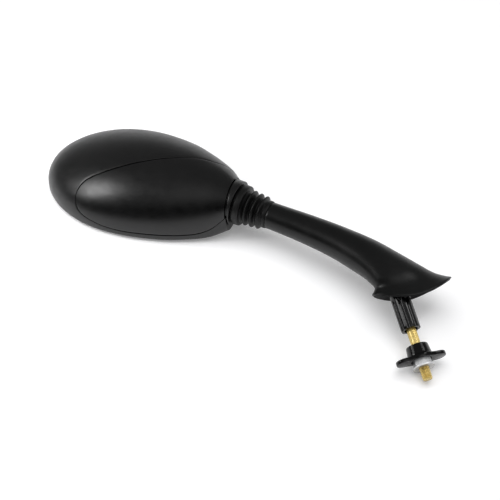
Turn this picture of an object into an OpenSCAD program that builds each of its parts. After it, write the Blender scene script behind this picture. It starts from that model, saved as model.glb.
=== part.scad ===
// Rear view mirror of a scooter, lying glass down: an oval two-piece head on a ball joint,
// a rubber boot, a moulded arm that flares into a saddle foot, and the mounting stud.
// The origin is the middle of the foot's hollow seat, on the stud's axis. Z is up.

/* [Head] */
// length of the oval head
head_l = 168; // [150:1:190]
// width of the oval head
head_w = 108; // [100:1:130]
// height of the back above the rim
head_h = 43; // [42:0.5:56]
// wall of the housing
wall = 2.4; // [2:0.1:3]
// thickness of the back cover
cover_t = 2.2; // [1.8:0.1:2.8]
// gap round the back cover
cover_gap = 0.5; // [0.3:0.1:0.8]
// glass set in from the housing's edge
glass_inset = 6; // [5:0.5:9]
// thickness of the mirror glass
glass_t = 2; // [1.5:0.1:3]

/* [Neck] */
// height of the neck's axis above the rim
neck_h = 27; // [24:0.5:30]
// turn of the neck's axis from the head's long axis
neck_yaw = -8.5; // [-12:0.5:-3]
// lean of the head's end, its top towards the head
end_lean = 5.6; // [0:0.2:7]
// diameter of the collar ring
collar_d = 38; // [36:0.5:40]
// length of the collar ring
collar_l = 4.4; // [3.4:0.2:5]
// diameter of the boot's big cuff
cuff_d = 34; // [32:0.5:35]
// diameter of the boot's first ring
boot_d1 = 30; // [28:0.5:31]
// diameter of the boot's last ring
boot_d3 = 28; // [26:0.5:29]
// spacing of the boot's rings
boot_pitch = 5.6; // [5:0.1:6.2]

/* [Ball joint] */
// diameter of the ball
ball_d = 16; // [14:0.5:16]
// wall of the seat cups
cup_t = 2.5; // [2:0.1:3]
// running gap between the spherical faces
ball_gap = 0.05; // [0.03:0.01:0.08]
// diameter of the ball's rod
rod_d = 8; // [7:0.5:8]

/* [Arm] */
// distance from the neck to the stud, along the head's long axis
arm_reach = 151.5; // [136:0.5:166]
// distance from the neck's end to the stud, across it
arm_offset = 50; // [45:0.5:57]
// diameter of the arm at the boot
arm_d = 22; // [20:0.5:23]
// thickness of the arm before its foot
arm_end_d = 31; // [28:0.5:34]
// length of the foot
foot_l = 65; // [58:0.5:70]
// width of the foot
foot_w = 34; // [31:0.5:38]
// foot's length on the short side of the stud
foot_back = 20.5; // [19:0.5:22]
// radius of the seat's hollow
seat_r = 22; // [21:0.5:30]
// tilt of the seat from the stud's axis
seat_tilt = 17; // [10:1:20]

/* [Stud] */
// turn of the stud, seen from above
stud_yaw = -56; // [-65:1:-50]
// slope of the stud below level
stud_dip = 16; // [13:0.5:19]
// nominal diameter of the thread
thread_d = 8; // [7:0.5:8.5]
// length of the stud out of the foot
stud_l = 76; // [72:1:82]
// length of the sleeve out of the foot
sleeve_l = 34; // [30:1:36]
// outer diameter of the sleeve
sleeve_d = 15.5; // [15:0.5:17]
// bore of the sleeve
sleeve_bore = 10.6; // [10.2:0.1:11]
// distance from the seat to the washer's outer face
washer_at = 60; // [58:0.5:61]
// height of the washer's hub
hub_l = 12; // [10:0.5:13]
// diameter of the washer's hub
hub_d = 20.5; // [19:0.5:21.5]
// span of the washer's ears
ear_span = 40; // [36:0.5:42]
// thickness of the washer's ears
ear_t = 3; // [2.5:0.5:4]
// height of the nut
nut_h = 8; // [7.5:0.5:8.5]
// diameter of the nut's flange
flange_d = 17.9; // [17.5:0.1:18.5]

/* [Hidden] */
$fn = 72;
eps = 0.01;
gap = 0.3;

// places: the seat's middle is the origin, the table lies under the rim and the nut's flange
nut_in = washer_at - 2 + gap;
nut_out = nut_in + nut_h;
seat_h = nut_out * sin(stud_dip) + flange_d / 2 * cos(stud_dip);
neck_at = [-arm_reach, arm_offset, neck_h - seat_h];
neck_dir = [cos(neck_yaw), sin(neck_yaw), 0];
end_angle = 90;
lean = tan(end_lean) / cos(neck_yaw);
glass_z = 2.8;
holder_z = glass_z + glass_t + 1;
head_at = neck_at - [0, -19, neck_h];
stud_dir = [cos(stud_dip) * cos(stud_yaw), cos(stud_dip) * sin(stud_yaw), -sin(stud_dip)];
stud_up = [sin(stud_dip) * cos(stud_yaw), sin(stud_dip) * sin(stud_yaw), cos(stud_dip)];
foot_dip = stud_dip + seat_tilt;
foot_n = [cos(foot_dip) * cos(stud_yaw), cos(foot_dip) * sin(stud_yaw), -sin(foot_dip)];
foot_v = [sin(foot_dip) * cos(stud_yaw), sin(foot_dip) * sin(stud_yaw), cos(foot_dip)];
foot_u = [-sin(stud_yaw), cos(stud_yaw), 0];

// neck stations, from the end of the head
cuff_at = collar_l + gap;
ball_at = 1;
groove_at = cuff_at + 8.2;
arm_at = groove_at + 3 * boot_pitch + 3.4;
ball_r = ball_d / 2;
cup_r = ball_r + ball_gap + cup_t;
seat_ball_r = cup_r + ball_gap;
socket_r = seat_ball_r + 3.4;
shaft_r = thread_d / 2 - 0.2;
spline_from = 20;
spline_to = washer_at - 4;
root_r = 5;

// smooth curve through rows that start with their station
function slope_at(rows, k) =
    k == 0 ? (rows[1] - rows[0]) / (rows[1][0] - rows[0][0]) :
    k == len(rows) - 1 ? (rows[k] - rows[k - 1]) / (rows[k][0] - rows[k - 1][0]) :
    (rows[k + 1] - rows[k - 1]) / (rows[k + 1][0] - rows[k - 1][0]);
function row_of(rows, x, k = 0) = k >= len(rows) - 2 || x < rows[k + 1][0] ? k : row_of(rows, x, k + 1);
function between(rows, x, k) =
    let (h = rows[k + 1][0] - rows[k][0], t = (x - rows[k][0]) / h, t2 = t * t, t3 = t2 * t)
    (2 * t3 - 3 * t2 + 1) * rows[k] + (t3 - 2 * t2 + t) * h * slope_at(rows, k)
    + (3 * t2 - 2 * t3) * rows[k + 1] + (t3 - t2) * h * slope_at(rows, k + 1);
function curve(rows, x) = between(rows, x, row_of(rows, x));
function power(v, p) = sign(v) * pow(abs(v), p);
function mix(a, b, t) = a + (b - a) * t;

// closed skin over a list of rings, all with the same number of points
module skin(rings) {
    n = len(rings[0]);
    m = len(rings);
    points = [for (ring = rings) for (p = ring) p];
    sides = [for (i = [0:m - 2]) for (j = [0:n - 1])
        let (a = i * n + j, b = i * n + (j + 1) % n)
        each [[a, b, b + n], [a, b + n, a + n]]];
    first = [[for (j = [n - 1:-1:0]) j]];
    last = [[for (j = [0:n - 1]) (m - 1) * n + j]];
    polyhedron(points = points, faces = concat(sides, first, last), convexity = 6);
}

// closed skin over a list of rings that ends where it starts
module hoop(rings) {
    n = len(rings[0]);
    m = len(rings);
    points = [for (ring = rings) for (p = ring) p];
    faces = [for (i = [0:m - 1]) for (j = [0:n - 1])
        let (k = (j + 1) % n, q = (i + 1) % m)
        each [[i * n + j, i * n + k, q * n + k], [i * n + j, q * n + k, q * n + j]]];
    polyhedron(points = points, faces = faces, convexity = 6);
}

// head: station angle, middle line, half width, widest level, height above it, depth below it, turn, lean
head_rows = [
    [0, -8.5, 0, 6, 0, 0, 0, 0],
    [12, -8.5, 0.31, 6, 0.24, 6, 0, 0],
    [24, -8.5, 0.595, 6, 0.45, 6, 0, 0],
    [36, -8.5, 0.83, 6, 0.64, 6, 0, 0],
    [48, -8.5, 0.975, 6, 0.815, 6, 0, 0],
    [60, -8.5, 1, 6, 0.94, 6, 0, 0],
    [72, -9.3, 0.9, 6.5, 0.975, 6.5, 0, 0],
    [80, -11.5, 0.735, 8.5, 0.92, 8.5, -1, 0.1],
    [86, -15, mix(collar_d, head_w, 0.314) / head_w, 14, 0.763, 13, -4, 0.5],
    [end_angle, -19, (collar_d + 1.6) / head_w, neck_h, collar_d / 2 / head_h, collar_d / 2 + 1.5, neck_yaw, 1]
];
function head_point(a, f, inset) =
    let (
        r = curve(head_rows, a),
        w = max(r[2] * head_w / 2 - inset, 0.02),
        up = max(r[4] * head_h - inset, 0.02),
        dn = max(r[5] - inset, 0.02),
        c = power(cos(f), 0.95),
        s = sin(f),
        z = r[3] + (s > 0 ? up * power(s, 0.95) : dn * power(s, 0.34))
    )
    [-(head_l - inset) * cos(a) + w * c * sin(r[6]) - r[7] * lean * (z - neck_h), r[1] - w * c * cos(r[6]), z];

// the cover's seam: from its low edge along the rim to its top edge over the back
seam_start = 40.5;
seam_mid = 33;
seam_tops = [
    [39, 53], [43, 56], [46.6, 61.4], [50.8, 68.8], [58.7, 79.3], [66.6, 89.4],
    [72, 95.9], [79, 108], [82, 114], [86, 131], [end_angle, 147]
];
seam_lows = [
    [39, 8.5], [45.6, 8.6], [49.6, 5.9], [53.5, 3.6], [60, 2.4], [66, 2.6],
    [75, 2.4], [82, 0.2], [86.5, -0.1], [end_angle, -3.5]
];
function opened(a, span) = let (u = min(max((a - seam_start + 0.15) / span, 0), 1)) sqrt(u * (2 - u));
function seam_low(a) = mix(seam_mid, curve(seam_lows, a)[1], opened(a, 7));
function seam_top(a) = mix(seam_mid, curve(seam_tops, a)[1], opened(a, 3.6));
function before(a) = max(seam_start - a, 0) / seam_start;
function list_low(a, m) = mix(seam_low(max(a, seam_start)) - m, 3, before(a));
function list_top(a, m) = mix(seam_top(max(a, seam_start)) + m, 150, before(a));

// one ring of the head, cut back by `deep` where the cover lies, with `m` degrees of margin
function stepped_ring(a, inset, deep, m, n1, n2, on) =
    let (lo = list_low(a, m), hi = list_top(a, m), e = 0.25, d = on ? deep : inset)
    concat(
        [head_point(a, lo - e, inset)],
        [for (j = [0:n1]) head_point(a, mix(lo + e, hi - e, j / n1), d)],
        [for (j = [0:n2 - 1]) head_point(a, mix(hi + e, 360 + lo - e, j / n2), inset)]
    );
function stations(a0, a1, n) = [for (i = [0:n]) mix(a0, a1, i / n)];
nose = [0, 0.6, 1.4, 2.4, 3.8, 5.6, 7.8];
module stepped_body(inset, deep, m, n1, n2, first, last, start) {
    skin(concat(
        [for (a = stations(first, start, 9)) stepped_ring(a, inset, deep, m, n1, n2, false)],
        [for (a = nose) stepped_ring(start + 0.25 + a, inset, deep, m, n1, n2, true)],
        [for (a = stations(start + 10.5, last, 13)) stepped_ring(a, inset, deep, m, n1, n2, true)]
    ));
}

// the hollow of the housing: its wall, and behind the cover a wall set in by the cover's depth
function under_cover(a, f) =
    let (g = f > 270 ? f - 360 : f, off = max(seam_low(a) - 3 - g, g - seam_top(a) - 3, 0))
    min(max(1 - off / 12, 0), 1) * min(max(1 - (seam_start - 1 - a) / 8, 0), 1);
module hollow_body() {
    n = 36;
    rows = concat([3, 8, 14, 20, 26], [for (q = [31:3:85]) q], [87]);
    skin([for (a = rows) [for (j = [0:n - 1])
        let (f = 360 * j / n, lead = min(max(1 - (seam_start - 1 - a) / 8, 0), 1))
        head_point(a, f, wall + (cover_t + gap) * under_cover(max(a, seam_start), f) * lead)]]);
}

// outline of the glass and of everything behind it, `d` inside the housing's edge
function rim_in(a) = head_w * (0.00071 * pow(max(a - 74, 0), 2) + 0.11 * pow(max(a - 83, 0) / 3, 4));
function rim_at(a, d, side) =
    let (r = curve(head_rows, a), q = max(a - 74, 0) / 12)
    [-(head_l - d) * cos(a) - d * q * q, r[1] + side * max(r[2] * head_w / 2 - d - rim_in(a), 0.1)];
rim_stations = concat([for (q = [5.5:5:75.5]) q], [78, 80.5, 83, 84.5, 85.5, 86]);
module outline(d) {
    n = len(rim_stations);
    polygon(concat([for (i = [0:n - 1]) rim_at(rim_stations[i], d, -1)],
                   [for (i = [n - 1:-1:0]) rim_at(rim_stations[i], d, 1)]));
}
module slab(d, z0, z1) {
    translate([0, 0, z0]) linear_extrude(z1 - z0) outline(d);
}
module in_head() {
    translate(head_at) children();
}
module on_neck(w = 0) {
    translate(neck_at + w * neck_dir) rotate([0, 90, neck_yaw]) children();
}
module on_stud(s = 0) {
    translate(s * stud_dir) rotate([0, 90 + stud_dip, stud_yaw]) children();
}

// screw places inside the head, and the socket's lugs beside the neck's axis
boss_x = [-118, -62];
boss_y = [-36, 22];
lug_head = 5;
lug = socket_r + gap + lug_head / 2;

// snap tabs of the cover, by station and angle, each pointing into the head
tabs = [[50, 11], [62, 9], [74, 8], [43.6, 31], [51, 61], [60, 72], [70, 85], [79, 98]];
module tab(a, f, from, to, thick) {
    p = head_point(a, f, from);
    q = head_point(a, f, to);
    hull() {
        translate(p) cube([5 + thick, 1.4 + thick, 1.4 + thick], center = true);
        translate(q) cube([3.6 + thick, 1.2 + thick, 1.2 + thick], center = true);
    }
}

// bar that carries the socket's two lugs, grown by `m`
module lug_bar(m) {
    square([lug_head + 1.2 + 2 * m, 2 * lug], center = true);
    for (k = [-1, 1]) translate([0, k * lug]) circle(d = lug_head + 1.2 + 2 * m);
}

module head_bosses() {
    for (x = boss_x) for (y = boss_y) hull() {
        translate([x, y, holder_z + 2.6]) cylinder(d = 6.5, h = 48, $fn = 18);
        translate([x, y, 20]) cylinder(d = 8.5, h = 37, $fn = 18);
    }
    for (x = boss_x) hull() {
        translate([x - 0.8, -50, 26]) cube([1.6, 80, 30]);
        translate([x - 0.8, -20, 20]) cube([1.6, 28, 36]);
    }
    translate(neck_at - head_at) rotate([0, 90, neck_yaw]) for (k = [-1, 1]) hull() {
        translate([0, k * lug, -10]) cylinder(d = 6, h = 7, $fn = 18);
        translate([0, k * (lug + 1.6), -7.4]) cylinder(d = 6.4, h = 4.2, $fn = 18);
    }
}

module head_housing() {
    color("#26262a") in_head() difference() {
        union() {
            difference() {
                stepped_body(0, cover_t + gap, 0, 18, 20, 1.5, end_angle, seam_start);
                hollow_body();
                slab(2.6, -1, 8.65);
            }
            intersection() {
                head_bosses();
                stepped_body(0.4, cover_t + gap + 0.4, 1, 18, 20, 1.5, end_angle - 0.5, seam_start - 1);
            }
        }
        translate(neck_at - head_at) rotate([0, 90, neck_yaw]) {
            translate([0, 0, -15]) cylinder(r = socket_r + gap, h = 20);
            translate([0, 0, -16]) linear_extrude(6) lug_bar(gap);
            for (k = [-1, 1]) translate([0, k * lug, -11]) cylinder(d = 3.3, h = 7, $fn = 18);
        }
        for (x = boss_x) for (y = boss_y) translate([x, y, 0]) cylinder(d = 3.1, h = 18, $fn = 18);
        for (t = tabs) tab(t[0], t[1], cover_t - 0.5, cover_t + 6, 0.8);
    }
}

module rear_cover() {
    n1 = 18;
    m = cover_gap / 0.9;
    rows = concat([for (a = nose) seam_start + 0.7 + a * 0.95],
                  stations(seam_start + 10.5, end_angle - 0.2, 13));
    color("#26262a") in_head() {
        skin([for (a = rows)
            let (lo = seam_low(a) + 0.25 + m / 2, hi = seam_top(a) - 0.25 - m / 2)
            concat([for (j = [0:n1]) head_point(a, mix(lo, hi, j / n1), 0)],
                   [for (j = [n1:-1:0]) head_point(a, mix(lo, hi, j / n1), cover_t)])]);
        for (t = tabs) tab(t[0], t[1], cover_t - 0.3, cover_t + 4.6, 0);
    }
}

module collar_ring() {
    color("#2a2a2d") on_neck() difference() {
        union() {
            translate([0, 0, -4]) cylinder(d = collar_d, h = collar_l + 4);
            translate([0, 0, -4]) cylinder(r = cuff_d / 2 - 2.1, h = collar_l + 9);
        }
        translate([0, 0, -5]) cylinder(r = socket_r + gap, h = collar_l + 12);
        rotate([0, -end_lean, 0]) translate([-30, -30, -20]) cube([60, 60, 20]);
    }
}

module mirror_glass() {
    color("#b9c4cc") in_head() slab(glass_inset, glass_z, glass_z + glass_t);
}
module foam_pad() {
    color("#3d3d40") in_head() slab(glass_inset + 3, glass_z + glass_t, holder_z);
}
module glass_holder() {
    color("#2b2b2e") in_head() difference() {
        union() {
            slab(3.6, holder_z, holder_z + 2.6);
            difference() {
                slab(3.6, glass_z - 0.2, holder_z + 0.1);
                slab(glass_inset - gap, glass_z - 1, holder_z + 0.2);
            }
        }
        for (x = boss_x) for (y = boss_y) translate([x, y, 0]) {
            cylinder(d = 3.4, h = 12);
            translate([0, 0, holder_z - 0.4]) cylinder(d = 6.2, h = 1.6);
        }
    }
}
module holder_screws() {
    color("#8d8f92") in_head() for (x = boss_x) for (y = boss_y) translate([x, y, holder_z]) {
        cylinder(d = 5.8, h = 1.2);
        cylinder(d = 3, h = 12);
    }
}

module socket_body() {
    color("#7d8084") on_neck() difference() {
        union() {
            translate([0, 0, -13.4]) cylinder(r = socket_r, h = 13.4 + collar_l + 5);
            translate([0, 0, -13.4]) linear_extrude(3.4) lug_bar(0);
        }
        translate([0, 0, ball_at]) sphere(r = seat_ball_r);
        translate([0, 0, -14]) cylinder(r = seat_ball_r, h = 14 + ball_at);
        translate([0, 0, ball_at]) cylinder(r1 = 0, r2 = 14.5, h = 13);
        for (k = [-1, 1]) translate([0, k * lug, -15]) cylinder(d = 3.4, h = 8);
    }
}
module socket_screws() {
    color("#8d8f92") on_neck() for (k = [-1, 1]) translate([0, k * lug, 0]) {
        translate([0, 0, -15]) cylinder(d = lug_head, h = 1.6);
        translate([0, 0, -15]) cylinder(d = 3.1, h = 10);
    }
}
module clamp_cap() {
    color("#7d8084") on_neck() difference() {
        union() {
            translate([0, 0, -16.4]) cylinder(r = socket_r, h = 3);
            translate([0, 0, -14]) cylinder(r = seat_ball_r - 0.02, h = 2);
        }
        translate([0, 0, -18]) cylinder(d = 6, h = 8);
    }
}
module disc_springs() {
    color("#a9abad") on_neck() difference() {
        translate([0, 0, -12]) cylinder(r = 9, h = 1.6);
        translate([0, 0, -13]) cylinder(r = 5, h = 4);
    }
}
module pressure_pad() {
    color("#b8bab4") on_neck() difference() {
        translate([0, 0, -10.4]) cylinder(r = seat_ball_r - 0.02, h = 6);
        translate([0, 0, ball_at]) sphere(r = seat_ball_r);
    }
}
// half shell round the ball, from one angle off its pole to another
module cup(a0, a1) {
    difference() {
        sphere(r = cup_r);
        sphere(r = ball_r + ball_gap);
        translate([0, 0, -30]) cylinder(r = 20, h = 30 + cup_r * cos(a1));
        cylinder(r = (ball_r + ball_gap) * sin(a0), h = 20);
    }
}
module cup_front() {
    color("#c9c6b8") on_neck(ball_at) rotate([180, 0, 0]) cup(14, 72);
}
module cup_back() {
    color("#c9c6b8") on_neck(ball_at) cup(34, 82);
}
module ball_rod() {
    color("#9a9c9f") on_neck() {
        translate([0, 0, ball_at]) sphere(r = ball_r);
        translate([0, 0, ball_at]) cylinder(d = rod_d, h = arm_at + 22 - ball_at);
    }
}

module bellows_boot() {
    g = cuff_d / 2;
    r1 = boot_d1 / 2;
    r3 = boot_d3 / 2;
    low = 11.8;
    t = 1.6;
    g1 = groove_at + boot_pitch;
    g2 = g1 + boot_pitch;
    g3 = g2 + boot_pitch;
    color("#1f1f21") on_neck() rotate_extrude() polygon([
        [g - 1, cuff_at], [g, cuff_at + 1], [g, groove_at - 2.2], [g - 1.2, groove_at - 0.7],
        [low, groove_at],
        [r1 - 1, groove_at + 1.6], [r1, (groove_at + g1) / 2], [r1 - 1, g1 - 1.6],
        [low, g1],
        [r1 - 1.4, g1 + 1.6], [(r1 + r3) / 2, (g1 + g2) / 2], [r1 - 1.6, g2 - 1.6],
        [low, g2],
        [r3 - 1, g2 + 1.6], [r3, (g2 + g3) / 2], [r3 - 1, g3 - 1.4],
        [low, g3 - 0.2], [low, g3 + 0.4],
        [12.6, g3 + 0.8], [12.6, arm_at - 0.6], [12.2, arm_at - 0.05],
        [9, arm_at - 0.05], [9, g3 - 1],
        [low - t, g3 - 2], [low - t, groove_at + 2],
        [g - t - 0.2, groove_at - 2.5], [g - t - 0.2, cuff_at]]);
}

// arm: a swept skin from the boot to the foot, whose underside follows the hollow seat
arm_from = neck_at + arm_at * neck_dir;
foot_mid = foot_u * (foot_l / 2 - foot_back);
arm_dir0 = neck_dir;
arm_dir1 = [cos(-27), sin(-27), -0.1];
arm_p1 = arm_from + 38 * arm_dir0;
arm_p2 = foot_mid - 50 * arm_dir1;
function bend(t) = let (u = 1 - t)
    u * u * u * arm_from + 3 * u * u * t * arm_p1 + 3 * u * t * t * arm_p2 + t * t * t * foot_mid;
function unit(v) = v / norm(v);
function side_of(t) = let (d = bend(t + 0.01) - bend(t)) unit([-d[1], d[0], 0]);
up = [0, 0, 1];
function arm_row(t, au, av, q, k) =
    concat([t], bend(t), unit(mix(side_of(t), foot_u, q)), unit(mix(up, foot_v, q)), [au, av, k]);
arm_rows = [
    arm_row(0, arm_d / 2, arm_d / 2, 0, 0),
    arm_row(0.1, arm_d / 2 + 0.3, arm_d / 2 + 0.2, 0, 0),
    arm_row(0.3, arm_d / 2 + 1.2, arm_d / 2 + 1, 0, 0),
    arm_row(0.5, arm_d / 2 + 2.5, arm_d / 2 + 2.2, 0.02, 0),
    arm_row(0.68, arm_end_d / 2 + 0.5, arm_end_d / 2 - 1, 0.18, 0),
    arm_row(0.8, arm_end_d / 2 + 3, arm_end_d / 2 - 0.7, 0.5, 0.1),
    arm_row(0.89, arm_end_d / 2 + 6.5, arm_end_d / 2 - 0.4, 0.8, 0.35),
    arm_row(0.95, foot_l / 2 - 6.5, foot_w / 2 - 1.4, 0.94, 0.7),
    arm_row(0.985, foot_l / 2 - 1.5, foot_w / 2 - 0.4, 1, 0.92),
    arm_row(1, foot_l / 2, foot_w / 2, 1, 1)
];
function saddle(v) = seat_r - sqrt(seat_r * seat_r - v * v);
function leaf(f) = power(sin(f), 1.15);
arm_n = 48;
function arm_ring(t) =
    let (r = curve(arm_rows, t), c = [r[1], r[2], r[3]], u = [r[4], r[5], r[6]], v = [r[7], r[8], r[9]])
    [for (j = [0:arm_n - 1]) let (f = 360 * j / arm_n, q = r[11] * mix(sin(f), leaf(f), r[12]))
        c + u * r[10] * cos(f) + v * q + foot_n * (r[12] * saddle(min(abs(q), foot_w / 2)) - 1.6 * r[12])];
function foot_ring(k, h) = [for (j = [0:arm_n - 1]) let (f = 360 * j / arm_n, q = k * foot_w / 2 * leaf(f))
    foot_mid * mix(0.5, 1, k) + foot_u * k * foot_l / 2 * cos(f) + foot_v * q + foot_n * (saddle(q) + h)];
function mouth_at(q) =
    let (b = seat_r * cos(seat_tilt)) b - sqrt(b * b - q * q - 2 * seat_r * q * sin(seat_tilt));
function mouth_ring(r, h = 0) = [for (j = [0:arm_n - 1]) let (f = 360 * j / arm_n, q = r * sin(f))
    foot_u * r * cos(f) + stud_up * q + stud_dir * mouth_at(q) + foot_n * h];
function stud_ring(r, s) = [for (j = [0:arm_n - 1]) let (f = 360 * j / arm_n)
    foot_u * r * cos(f) + stud_up * r * sin(f) + stud_dir * s];
function neck_ring(r, w) = [for (j = [0:arm_n - 1]) let (f = 360 * j / arm_n)
    neck_at + neck_dir * w + [-sin(neck_yaw), cos(neck_yaw), 0] * r * cos(f) + up * r * sin(f)];
pocket = 1.002 / cos(180 / arm_n);
sleeve_hole = sleeve_d / 2 * pocket;

module arm() {
    color("#242427") skin(concat(
        [neck_ring(rod_d / 2 * pocket, arm_at + 22), neck_ring(rod_d / 2 * pocket, arm_at - 7)],
        [neck_ring(8.95, arm_at - 7), neck_ring(8.95, arm_at)],
        [for (i = [0:16]) arm_ring(i / 20)],
        [for (t = [0.84, 0.87, 0.9, 0.92, 0.94, 0.955, 0.97, 0.985, 1]) arm_ring(t)],
        [foot_ring(1, -0.4), foot_ring(0.97, 0), foot_ring(0.75, 0), foot_ring(0.5, 0)],
        [mouth_ring(sleeve_hole), stud_ring(sleeve_hole, -6)],
        [stud_ring(root_r * pocket, -6), stud_ring(root_r * pocket, -20)]
    ));
}
module sleeve() {
    flutes = 8;
    color("#1b1b1d") on_stud() difference() {
        translate([0, 0, -6]) cylinder(d = sleeve_d, h = sleeve_l + 6);
        translate([0, 0, -7]) cylinder(d = sleeve_bore, h = sleeve_l + 9);
        for (i = [0:flutes - 1]) rotate([0, 0, 360 / flutes * (i + 0.5)])
            translate([sleeve_d / 2 + 0.9, 0, 8.5]) cylinder(r = 2, h = sleeve_l);
    }
}
module stud() {
    color("#c9b458") on_stud() {
        translate([0, 0, -20]) cylinder(r = root_r, h = 14);
        difference() {
            translate([0, 0, -6.1]) cylinder(r = shaft_r, h = nut_out + 6.1);
            for (i = [0:11]) rotate([0, 0, 30 * i]) translate([shaft_r + 0.2, 0, spline_from])
                cylinder(r = 0.5, h = spline_to - spline_from, $fn = 16);
        }
        translate([0, 0, nut_out]) cylinder(d = thread_d, h = stud_l - 1 - nut_out);
        translate([0, 0, stud_l - 1]) cylinder(d1 = thread_d, d2 = thread_d - 1.6, h = 1);
    }
}
module ear_washer() {
    color("#18181a") on_stud() difference() {
        union() {
            translate([0, 0, washer_at - hub_l])
                cylinder(d1 = hub_d - 3, d2 = hub_d - 1, h = hub_l - ear_t + eps);
            translate([0, 0, washer_at - ear_t]) linear_extrude(ear_t) {
                circle(d = hub_d);
                for (k = [-1, 1]) {
                    tip = k * (ear_span / 2 - 8);
                    translate([0, k * (ear_span / 2 - 6.5)]) circle(r = 6.5);
                    polygon([[-8.6, k * 5.4], [-6.3, tip], [6.3, tip], [8.6, k * 5.4]]);
                }
            }
        }
        translate([0, 0, washer_at - hub_l - 1]) cylinder(r = thread_d / 2 + 0.05, h = hub_l + 2);
        translate([0, 0, washer_at - 2]) cylinder(r = 8, h = 3);
    }
}
module flange_nut() {
    color("#d5d7d9") on_stud() difference() {
        union() {
            translate([0, 0, nut_in]) cylinder(d = 15, h = nut_h, $fn = 6);
            translate([0, 0, nut_out - 1.6]) cylinder(d = flange_d, h = 1.6);
            translate([0, 0, nut_out - 3.4]) cylinder(d1 = 14, d2 = flange_d - 1, h = 1.9);
        }
        translate([0, 0, nut_in - 1]) cylinder(r = thread_d / 2 + 0.05, h = nut_h + 2);
    }
}
module seat_pad() {
    inner = [foot_ring(0.97, 0), foot_ring(0.75, 0), foot_ring(0.5, 0), mouth_ring(sleeve_hole)];
    outer = [mouth_ring(sleeve_hole, 1), foot_ring(0.5, 1), foot_ring(0.75, 1), foot_ring(0.97, 1)];
    color("#19191a") hoop(concat(inner, outer));
}

head_housing();
rear_cover();
collar_ring();
mirror_glass();
foam_pad();
glass_holder();
holder_screws();
socket_body();
socket_screws();
clamp_cap();
disc_springs();
pressure_pad();
cup_front();
cup_back();
ball_rod();
bellows_boot();
arm();
seat_pad();
sleeve();
stud();
ear_washer();
flange_nut();
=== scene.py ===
import math
import bmesh
import bpy
from mathutils import Matrix, Vector


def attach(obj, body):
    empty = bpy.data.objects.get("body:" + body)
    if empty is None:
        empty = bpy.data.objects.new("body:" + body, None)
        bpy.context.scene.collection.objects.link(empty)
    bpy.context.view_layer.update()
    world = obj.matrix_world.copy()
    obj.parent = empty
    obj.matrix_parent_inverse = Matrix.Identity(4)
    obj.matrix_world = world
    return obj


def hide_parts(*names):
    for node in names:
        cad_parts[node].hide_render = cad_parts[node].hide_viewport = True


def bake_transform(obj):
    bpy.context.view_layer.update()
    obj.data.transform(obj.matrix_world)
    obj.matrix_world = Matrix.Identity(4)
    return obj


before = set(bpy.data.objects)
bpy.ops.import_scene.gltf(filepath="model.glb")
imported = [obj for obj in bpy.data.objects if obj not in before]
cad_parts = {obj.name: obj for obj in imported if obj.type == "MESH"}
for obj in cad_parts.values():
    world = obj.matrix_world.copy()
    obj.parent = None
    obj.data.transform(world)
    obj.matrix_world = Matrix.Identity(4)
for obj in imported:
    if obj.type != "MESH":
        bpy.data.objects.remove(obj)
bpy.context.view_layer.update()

# A motorcycle mirror, lying glass down. All shapes are worked out in mm from the CAD's own sizes,
# and new_mesh turns them into metres. z is up, and the stud leaves the foot at the origin.
scene = bpy.context.scene

# ---------------------------------------------------------------- sizes, as in the CAD, in mm
MM = 0.001
HEAD_L, HEAD_W, HEAD_H, WALL = 168.0, 108.0, 43.0, 2.4
COVER_T, GAP = 2.2, 0.3
NECK_H, YAW = 27.0, -8.5
END_Y, END_LEAN, END_TURN = -19, 5.6, -1.5  # the head's end: its middle, and its plane in degrees
GLASS_Z, HOLDER_Z = 2.8, 5.8
COLLAR_D, COLLAR_L, CUFF_D, SOCKET_R = 38.0, 4.4, 34.0, 14.0
ARM_REACH, ARM_OFFSET, ARM_D, ARM_END = 151.5, 50.0, 22.0, 31.0
FOOT_L, FOOT_W, FOOT_BACK, SEAT_R, SEAT_TILT = 65.0, 34.0, 20.5, 22.0, 17.0
SEAT_H = 26.878                             # height of the origin above the floor
STUD_YAW, STUD_DIP, STUD_L, STUD_IN = -56.0, 16.0, 76.0, -20
WASHER_AT, HUB_L, HUB_D, EAR_SPAN, EAR_T = 60.0, 12.0, 20.5, 40.0, 3.0
NUT_H, NUT_SINK = 8.0, 2
SLEEVE_L, SLEEVE_D, SLEEVE_BORE, SLEEVE_IN = 34.0, 15.5, 10.6, -6
NUT_IN = WASHER_AT - NUT_SINK + GAP
NUT_OUT = NUT_IN + NUT_H


def sind(a):
    return math.sin(math.radians(a))


def cosd(a):
    return math.cos(math.radians(a))


def tand(a):
    return math.tan(math.radians(a))


UP = Vector((0, 0, 1))
NECK_AT = Vector((-ARM_REACH, ARM_OFFSET, NECK_H - SEAT_H))
NECK_DIR = Vector((cosd(YAW), sind(YAW), 0))
NECK_SIDE = Vector((-sind(YAW), cosd(YAW), 0))
HEAD_AT = NECK_AT - Vector((0, END_Y, NECK_H))


def dipped(dip):
    """A direction and the one square above it, both in the stud's upright plane."""
    along = Vector((cosd(dip) * cosd(STUD_YAW), cosd(dip) * sind(STUD_YAW), -sind(dip)))
    above = Vector((sind(dip) * cosd(STUD_YAW), sind(dip) * sind(STUD_YAW), cosd(dip)))
    return along, above


STUD_DIR, STUD_UP = dipped(STUD_DIP)
FOOT_N, FOOT_V = dipped(STUD_DIP + SEAT_TILT)
FOOT_U = Vector((-sind(STUD_YAW), cosd(STUD_YAW), 0))

# places along the neck's axis: the cuff, the groove behind it, the folds' ends and the arm
CUFF_AT = COLLAR_L + GAP
PITCH = 5.6
FOLD0 = CUFF_AT + 8.2
FOLD1, FOLD2, FOLD3 = FOLD0 + PITCH, FOLD0 + 2 * PITCH, FOLD0 + 3 * PITCH
ARM_AT = FOLD3 + 3.4

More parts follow.
